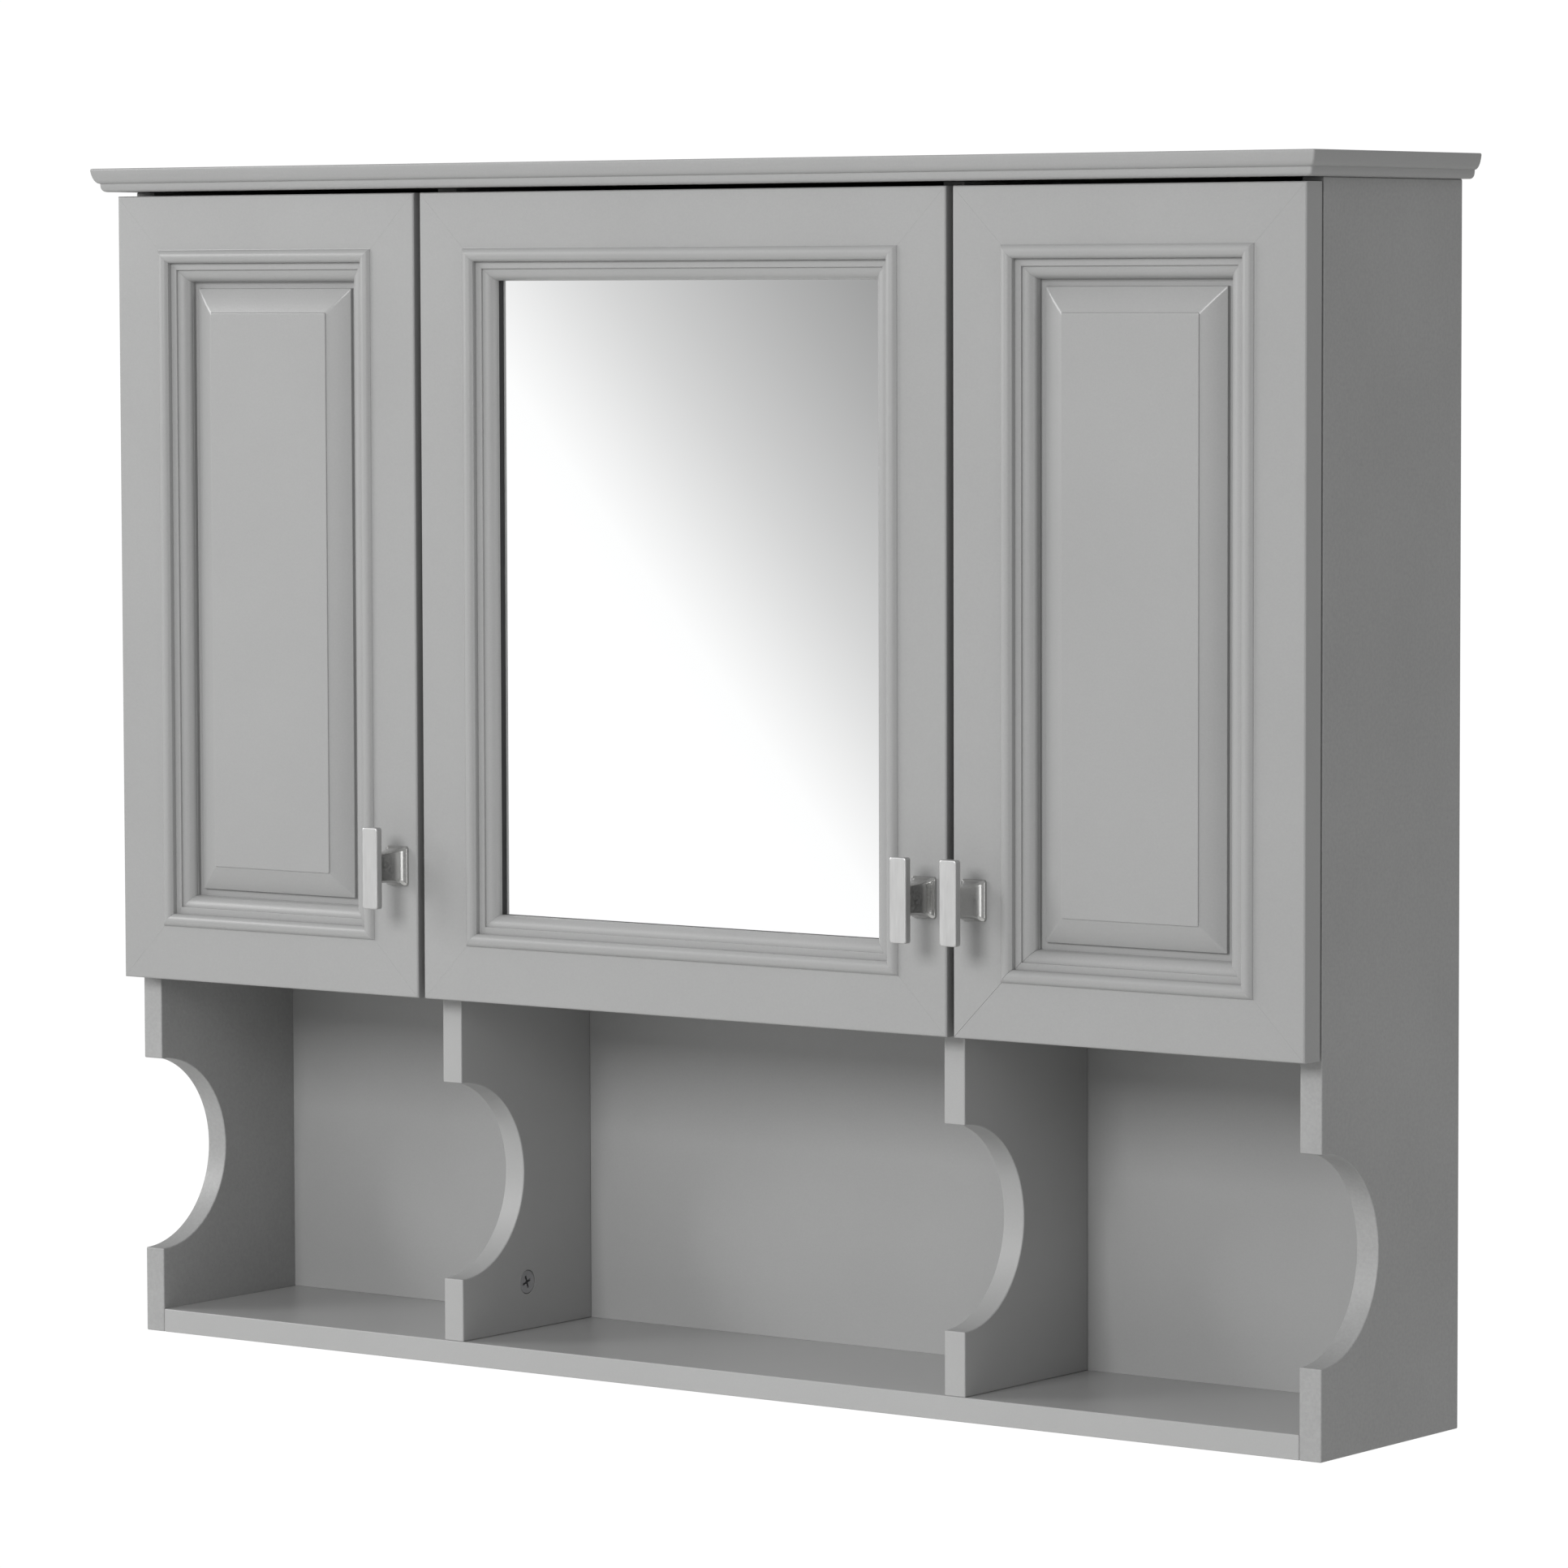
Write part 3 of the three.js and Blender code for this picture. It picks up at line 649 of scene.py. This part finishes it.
def moulding(lip=REB_D):
    """(inset from the door's edge, depth below its face), round the section."""
    p = []
    p += arc(0.6, DOOR_T - 0.6, 0.6, 0.6, 90, 180, 3)
    p += arc(1.3, 1.3, 1.3, 1.3, 180, 270, 6)
    p += [(6.0, 0.0), (20.0, 0.0), (32.0, 0.0), (34.2, 0.0)]
    p += [(34.2, 0.03)]
    p += [q for q in arc(38.85, 1.0, 4.3, 3.95, 196, 340, 22) if q[1] < 2.3]
    p += [(43.0, 2.28), (43.4, 2.2), (45.0, 2.2), (46.85, 2.2), (47.15, 2.28), (47.3, 2.5), (47.38, 3.1), (47.4, 3.62), (47.55, 3.74)]
    p += arc(47.5, 9.9, 7.2, 6.15, -86, -6, 16)
    p += [(54.66, 9.88), (FRAME_W, 10.1), (FRAME_W, lip), (REB_E, lip), (REB_E, DOOR_T - 0.4), (REB_E - 0.4, DOOR_T)]
    return p


PROFILE = moulding()
LIP = 10.25  # the mirror door's lip stops here; a near-black strip of painted shadow fills down to the glass
GLAZED = moulding(LIP)


def member(node, edge, door_box, slack, cutters=()):
    (x0, z0, x1, z1), face = door_box
    profile = GLAZED if node.startswith("middle") else PROFILE
    n = len(profile)
    verts = []
    for w in (0, 1):
        for t, d in profile:
            g = slack[w]
            if edge in ("left", "right"):
                x = x0 + t if edge == "left" else x1 - t
                z = z1 - t - g if w else z0 + t + g
            else:
                z = z0 + t if edge == "bottom" else z1 - t
                x = x1 - t - g if w else x0 + t + g
            verts.append((x * MM, (face + d) * MM, z * MM))
    faces = [tuple(range(n)), tuple(range(n, 2 * n))] + [(i, (i + 1) % n, n + (i + 1) % n, n + i) for i in range(n)]
    o = new_obj(node + "_moulded", verts, faces)
    if cutters:
        cut(o, [c() for c in cutters])
    return finish_piece(o, PAINT, node, angle=28)


def raised_panel(node, face):
    (x0, y0, z0), (x1, y1, z1) = box_mm(node)
    back = DOOR_T - 0.35
    lv = [(0.0, back, 0), (0.0, REB_D + 0.05, 0), (10.0, REB_D + 0.05, 0.0), (10.5, REB_D, 0.0), (10.68, REB_D - 0.25, 0.1)]
    # low wall, then a bevel that eases from 28 to 18 degrees, then the field's step
    lv += [(10.8, 11.4, 0.3), (10.85, 10.5, 0.5), (10.98, 10.22, 0.8), (11.25, 10.05, 1.1)]
    for i in range(1, 15):
        t = 14.6 * i / 14
        lv.append((11.25 + t, 10.05 - 0.53 * t + 0.0070 * t * t, 1.3))
    lv += [(25.98, 3.84, 1.2), (26.08, 3.72, 1.1), (26.14, 3.4, 1.1), (26.26, 3.14, 1.0), (26.5, 3.02, 1.0), (27.1, 3.0, 1.0)]
    rings = []
    for i, d, r in lv:
        cx0, cx1, cz0, cz1 = x0 + i, x1 - i, z0 + i, z1 - i
        r = max(r, 0.25)
        pts = arc(cx1 - r, cz1 - r, r, r, 0, 90, 4) + arc(cx0 + r, cz1 - r, r, r, 90, 180, 4)
        pts += arc(cx0 + r, cz0 + r, r, r, 180, 270, 4) + arc(cx1 - r, cz0 + r, r, r, 270, 360, 4)
        rings.append((face + d, pts))
    o = loft(node + "_field", rings, lambda a, b, h: (a * MM, h * MM, b * MM))
    return finish_piece(o, PAINT, node, angle=26)


def painted_shadow_strip(face, door_box):
    """Near-black strip round the mirror under the lip of the moulding: painted shadow standing in for the shaded gap
    between lip and glass.
    """
    x0, z0, x1, z1 = door_box
    out, inn = 49.0, FRAME_W - 0.12
    d0, d1 = LIP + 0.02, REB_D + 0.03
    verts = []
    for d in (d0, d1):
        for i in (out, inn):
            verts += [(x0 + i, face + d, z0 + i), (x1 - i, face + d, z0 + i), (x1 - i, face + d, z1 - i), (x0 + i, face + d, z1 - i)]
    faces = []
    for i in range(4):
        j = (i + 1) % 4
        faces += [(i, j, 4 + j, 4 + i), (8 + i, 8 + j, 12 + j, 12 + i), (i, j, 8 + j, 8 + i), (4 + i, 4 + j, 12 + j, 12 + i)]
    o = new_obj("mirror_painted_shadow_strip", [(a * MM, b * MM, c * MM) for a, b, c in verts], faces)
    return finish_piece(o, PAINTED_SHADE, None, "middle_door", angle=20, weigh=False)


def hinge_frame(door):
    """(outer face of the carrying panel, direction inwards)."""
    return {"left": (-450.0, 1), "middle": (-200.0, 1), "right": (450.0, -1)}[door]


HINGE_Z = {"lower": 232.6 + 90 - 708.0, "upper": 735.2 - 90 - 708.0}
PULL_Z = 315.2 - 708.0


def door(name, hinge):
    lo_l, hi_l = box_mm(f"{name}_door_left_stile")
    lo_r, hi_r = box_mm(f"{name}_door_right_stile")
    x0, x1, z0, z1 = lo_l[0], hi_r[0], lo_l[2], hi_l[2]
    face = FRONT - 1.5 - DOOR_T
    back = FRONT - 1.5
    xo, s = hinge_frame(name)
    free = "right" if hinge == "left" else "left"
    px = x1 - 15.5 if free == "right" else x0 + 15.5
    bx = ((x0, z0, x1, z1), face)
    hair = 0.03
    # the glued mitre at the foot of the right door's left stile has opened a little
    opened = {("right", "left"): (0.22, hair), ("right", "bottom"): (0.0, hair)}
    for e, part in (("left", "stile"), ("right", "stile"), ("bottom", "rail"), ("top", "rail")):
        slack = opened.get((name, e), (hair, hair))
        cutters = []
        if e == hinge:
            for z in HINGE_Z.values():
                cutters.append(lambda z=z: cylinder_y(17.6, back - 11.6, back + 5, xo + s * 22.5, z, 64))
        elif e == free:
            cutters.append(lambda: cylinder_y(4.3, back - 2.6, back + 5, px, PULL_Z, 40))
        member(f"{name}_door_{e}_{part}", e, bx, slack, cutters)
    return face, back, px


def pull(name, face, px):
    zc = PULL_Z
    place = lambda a, b, h: ((px + a) * MM, (face - h) * MM, (zc + b) * MM)
    top = 28.0 - 5.3
    stem = []
    ctl = [(0, 17.2, 24.8, 1.6), (0.25, 17.2, 24.8, 1.8), (1.2, 17.2, 24.8, 1.8), (1.75, 16.9, 24.5, 1.9), (2.1, 16.2, 24.0, 1.9),
           (2.8, 14.4, 23.0, 1.9), (3.8, 12.9, 22.0, 2.0), (5.2, 11.4, 21.2, 2.0), (7.2, 10.0, 20.5, 2.1), (9.6, 9.0, 19.9, 2.1),
           (12.5, 8.3, 19.5, 2.1), (15.5, 7.9, 19.3, 2.1), (18.5, 7.8, 19.3, 2.1), (21, 8.0, 19.5, 2.1), (22.2, 8.3, 19.8, 2.1), (top, 8.6, 20.0, 2.1)]
    for h, w, t, r in ctl:
        stem.append((h, rounded(w, t, r, 7)))
    o = loft(f"{name}_pull_stem_flared", stem, place)
    finish_piece(o, POLISHED, f"{name}_pull_stem", angle=40)
    w, t, hh, e = 11.9, 5.3, 51.0, 0.75
    rings = []
    for k in range(5):
        a = math.radians(90 * k / 4)
        i = e * (1 - math.sin(a))
        rings.append((top + e * (1 - math.cos(a)), rounded(w - 2 * i, hh - 2 * i, 1.5, 6)))
    for k in range(5):
        a = math.radians(90 - 90 * k / 4)
        i = e * (1 - math.sin(a))
        rings.append((top + t - e * (1 - math.cos(a)), rounded(w - 2 * i, hh - 2 * i, 1.5, 6)))
    o = loft(f"{name}_pull_bar_eased", rings, place)
    finish_piece(o, NICKEL, f"{name}_pull_bar", angle=35)
    # machine screw from the inside of the door
    back = face + DOOR_T
    sp = lambda a, b, h: ((px + a) * MM, (back - h) * MM, (zc + b) * MM)
    prof = [(0, 0.35), (2.6, 0.35), (3.5, 0.55), (3.95, 1.05), (4.0, 2.35), (1.85, 2.4), (1.85, 25.0), (1.3, 26.0), (0, 26.0)]
    o = lathe(f"{name}_pull_screw_head", prof, sp, 48)
    cut(o, [cross("cutter", sp, -0.5, 1.9, 2.1, 0.45, 0.5, r) for r in (0.4, 0.4 + math.pi / 2)])
    finish_piece(o, SCREW, f"{name}_pull_screw", angle=30)


def cross(name, place, h0, h1, tip, half, taper, ang):
    """One blade of a cross recess, narrowing with depth."""
    rings = []
    for h, k in ((h0, 1.0), (h1, taper)):
        ring = [(-tip * k, -half), (tip * k, -half), (tip * k, half), (-tip * k, half)]
        rings.append((h, [(a * math.cos(ang) - b * math.sin(ang), a * math.sin(ang) + b * math.cos(ang)) for a, b in ring]))
    return loft(name, rings, place)


# ------------------------------------------------------------ hinges
def screw_head(name, place, r, body, depth=0.0, ang=0.3, mat=None):
    """Pan-head screw with a cross recess; h runs out of the head, 0 is the seat."""
    prof = [(0, -2.0), (r * 0.42, -2.0), (r * 0.42, 0.0), (r, 0.02), (r, r * 0.16), (r * 0.9, r * 0.34), (r * 0.62, r * 0.5), (0, r * 0.56)]
    o = lathe(name, prof, place, 32)
    cut(o, [cross("cutter", place, r * 0.8, r * 0.05, r * 0.58, r * 0.13, 0.5, ang + k) for k in (0, math.pi / 2)])
    return finish_piece(o, mat or SCREW, None, body, angle=30)


def hinge(name, which):
    xo, s = hinge_frame(name)
    z = HINGE_Z[which]
    tag = f"{name}_{which}_hinge"
    door_body, root, links = BODY_OF[f"{tag}_cup"], BODY_OF[f"{tag}_arm"], BODY_OF[f"{tag}_link"]
    # local (inwards, outwards, up)
    P = lambda u, v, w: ((xo + s * u) * MM, (FRONT - v) * MM, (z + w) * MM)
    # pressed cup with a rolled rim
    prof = [(0, 12.8), (16.6, 12.8), (17.25, 12.4), (17.4, 11.6), (17.4, 1.5), (18.8, 1.5), (19.0, 1.3), (19.0, 0.75), (18.75, 0.5),
            (16.7, 0.5), (16.2, 0.62), (15.95, 1.1), (15.9, 2.0), (15.9, 11.2), (15.4, 11.85), (14.6, 12.05), (0, 12.05)]
    o = lathe(f"{tag}_cup_pressed", prof, lambda a, b, h: P(22.5 + a, h, b), 72)
    finish_piece(o, STEEL, f"{tag}_cup", angle=30)
    # ears with their screws: a plate outside the cup rim
    plate = [(24, -26.5)] + arc(32.5, -23.0, 3.5, 3.5, -90, 0, 6) + arc(32.5, 23.0, 3.5, 3.5, 0, 90, 6) + [(24, 26.5), (22.3, 24.0)] 
    ring = arc(22.5, 0, 18.2, 18.2, 78, -78, 30)
    plate += ring
    plate += [(22.3, -24.0)]
    o = prism(f"{tag}_cup_ears", plate, lambda u, v, w: P(u, w, v), 0.55, 1.45)
    bevel(o, 0.25 * MM, 2, 30)
    finish_piece(o, STEEL, None, door_body, angle=30)
    for i, zz in enumerate((-22.5, 22.5)):
        screw_head(f"{tag}_cup_screw_{i}", lambda a, b, h, zz=zz: P(29.5 + a, 0.55 - h * 0.45, zz + b), 3.1, door_body, ang=0.3 + i)
    # arm: pressed channel over the mounting plate, cheeks round the pivot pin
    ax, av = 32.11, 0.11
    side = [(18.2, -60.5), (24.6, -60.5)] + arc(26.0, -59.1, 1.4, 1.4, -90, 0, 4) + [(27.4, -26.0)]
    side += [(30.2, -14.0), (33.6, -4.0)] + arc(ax, av, 2.15, 2.15, -20, 160, 10) + [(27.5, -5.0), (22.0, -11.5), (18.2, -16.5)]
    for sg in (-1, 1):
        o = prism(f"{tag}_arm_cheek_{'a' if sg < 0 else 'b'}", side, lambda u, v, w: P(u, v, w), sg * 5.75 if sg > 0 else -7.15, sg * 7.15 if sg > 0 else -5.75)
        bevel(o, 0.3 * MM, 2, 30)
        finish_piece(o, STEEL, None, root, angle=30)
    web = [(26.2, -60.2), (27.35, -59.2), (27.35, -25.0), (29.2, -16.5), (28.0, -15.9), (26.1, -24.5)]
    o = prism(f"{tag}_arm_web", web, lambda u, v, w: P(u, v, w), -5.8, 5.8)
    bevel(o, 0.25 * MM, 2, 30)
    finish_piece(o, STEEL, None, root, angle=30)
    o = lathe(f"{tag}_pivot_pin", [(0, -7.6), (1.6, -7.6), (1.75, -7.3), (1.2, -7.15), (1.2, 7.15), (1.75, 7.3), (1.6, 7.6), (0, 7.6)], lambda a, b, h: P(ax + a, av + b, h), 28)
    finish_piece(o, STEEL, None, root, angle=35)
    base = [(-15, -44.0)] + [(-11.0, -57.0), (11.0, -57.0), (15.0, -44.0), (15, -34.0), (11.0, -21.0), (-11.0, -21.0), (-15, -34.0)]
    o = prism(f"{tag}_mounting_plate", base, lambda u, v, w: P(w, v, u), 15.02, 18.3)
    bevel(o, 0.5 * MM, 3, 30)
    finish_piece(o, ZINC, f"{tag}_arm", angle=30)
    for i, (vv, r) in enumerate(((-52.0, 2.7), (-31.5, 2.9))):
        screw_head(f"{tag}_arm_screw_{i}", lambda a, b, h, vv=vv: P(27.35 + h, vv + a, b), r, root, ang=0.7 + i)
    for i, zz in enumerate((-11.2, 11.2)):
        screw_head(f"{tag}_plate_screw_{i}", lambda a, b, h, zz=zz: P(18.3 + h, -39.0 + a, zz + b), 2.6, root, ang=0.2 + i)
    # link strap with rolled eye; its far end lies loose in the cup
    L, t = 25.81, 1.6
    a0 = math.radians(158.9)
    pts = arc(0, 0, 2.35, 2.35, 24, 336, 26) + [(4.0, -t / 2 - 0.05), (L - 4, -t / 2)] + arc(L - t / 2, 0, t / 2, t / 2, -80, 80, 8) + [(L - 4, t / 2), (4.0, t / 2 + 0.05)]
    hole = arc(0, 0, 1.45, 1.45, 0, 360, 24)[:-1]
    R = lambda u, v, w: P(ax + u * math.cos(a0) - v * math.sin(a0), av + u * math.sin(a0) + v * math.cos(a0), w)
    o = prism(f"{tag}_link_strap", pts, R, -3.55, 3.55)
    bevel(o, 0.25 * MM, 2, 30)
    cut(o, [prism("cutter", hole, R, -9, 9)])
    finish_piece(o, STEEL, f"{tag}_link", angle=30)


# ------------------------------------------------------------ build
def shelf_pins(name):
    (x0, y0, z0), (x1, y1, z1) = box_mm(f"{name}_shelf")
    for i, (x, sg) in enumerate(((x0 - 0.8, 1), (x1 + 0.8, -1))):
        for j, y in enumerate((y0 + 22, y1 - 22)):
            place = lambda a, b, h, x=x, y=y, sg=sg: ((x + sg * h) * MM, (y + a) * MM, (z0 - 2.6 + b) * MM)
            o = lathe(f"{name}_shelf_pin_{i}{j}", [(0, 0.05), (2.5, 0.05), (2.5, 6.2), (2.2, 6.6), (0, 6.6)], place, 24)
            finish_piece(o, SCREW, None, "carcass", angle=35)


make_camera()
make_stage()
make_lights()
make_mirror_card()

upright("left_side_panel", SIDE)
upright("right_side_panel", SIDE)
upright("left_divider", BOARD, cam_side=1)
upright("right_divider", BOARD, cam_side=-1)
cam_disc("left_divider_cam", -185.0, 1)
cam_disc("right_divider_cam", 185.0, -1)
board("bottom_board", SHELF)
for bay in ("left", "middle", "right"):
    board(f"{bay}_deck", BOARD)
    board(f"{bay}_shelf", BOARD)
    shelf_pins(bay)
holes = [lambda x=x: cylinder_y(2.6, -40, 20, x, 0.0, 32) for x in (-300, 300)]
board("back_panel", BOARD, 0.4, cutters=holes)
board("upper_hanging_rail", BOARD, 0.6, cutters=holes)
board("lower_wall_rail", BOARD, 0.6)
top_board("top_panel")

for name, hinge_side in (("left", "left"), ("middle", "left"), ("right", "right")):
    face, back, px = door(name, hinge_side)
    if name == "middle":
        (x0, y0, z0), (x1, y1, z1) = box_mm("mirror_glass")
        o = prism("mirror_glass_sheet", [(x0, z0), (x1, z0), (x1, z1), (x0, z1)], lambda u, v, w: (u * MM, w * MM, v * MM), y0, y1)
        bevel(o, 0.3 * MM, 2)
        finish_piece(o, MIRROR, "mirror_glass", angle=20, weigh=False)
        (sx, _, sz), _ = box_mm("middle_door_left_stile")
        _, (ex, _, ez) = box_mm("middle_door_right_stile")
        # near-black strip of painted shadow round the mirror, under the lip
        painted_shadow_strip(face, (sx, sz, ex, ez))
        (x0, y0, z0), (x1, y1, z1) = box_mm("mirror_backing")
        o = prism("mirror_backing_sheet", [(x0, z0), (x1, z0), (x1, z1), (x0, z1)], lambda u, v, w: (u * MM, w * MM, v * MM), y0, y1)
        bevel(o, 0.3 * MM, 2)
        finish_piece(o, HARDBOARD, "mirror_backing")
        n = 0
        for x in (x0 + 8, (x0 + x1) / 2, x1 - 8):
            for z in (z0 + 3.4, z1 - 3.4):
                n += 1
                screw_head(f"backing_screw_{n}", lambda a, b, h, x=x, z=z: ((x + a) * MM, (y1 + h * 0.6) * MM, (z + b) * MM), 2.6, "middle_door", ang=n)
    else:
        raised_panel(f"{name}_raised_panel", face)
    pull(name, face, px)
    for which in ("lower", "upper"):
        hinge(name, which)
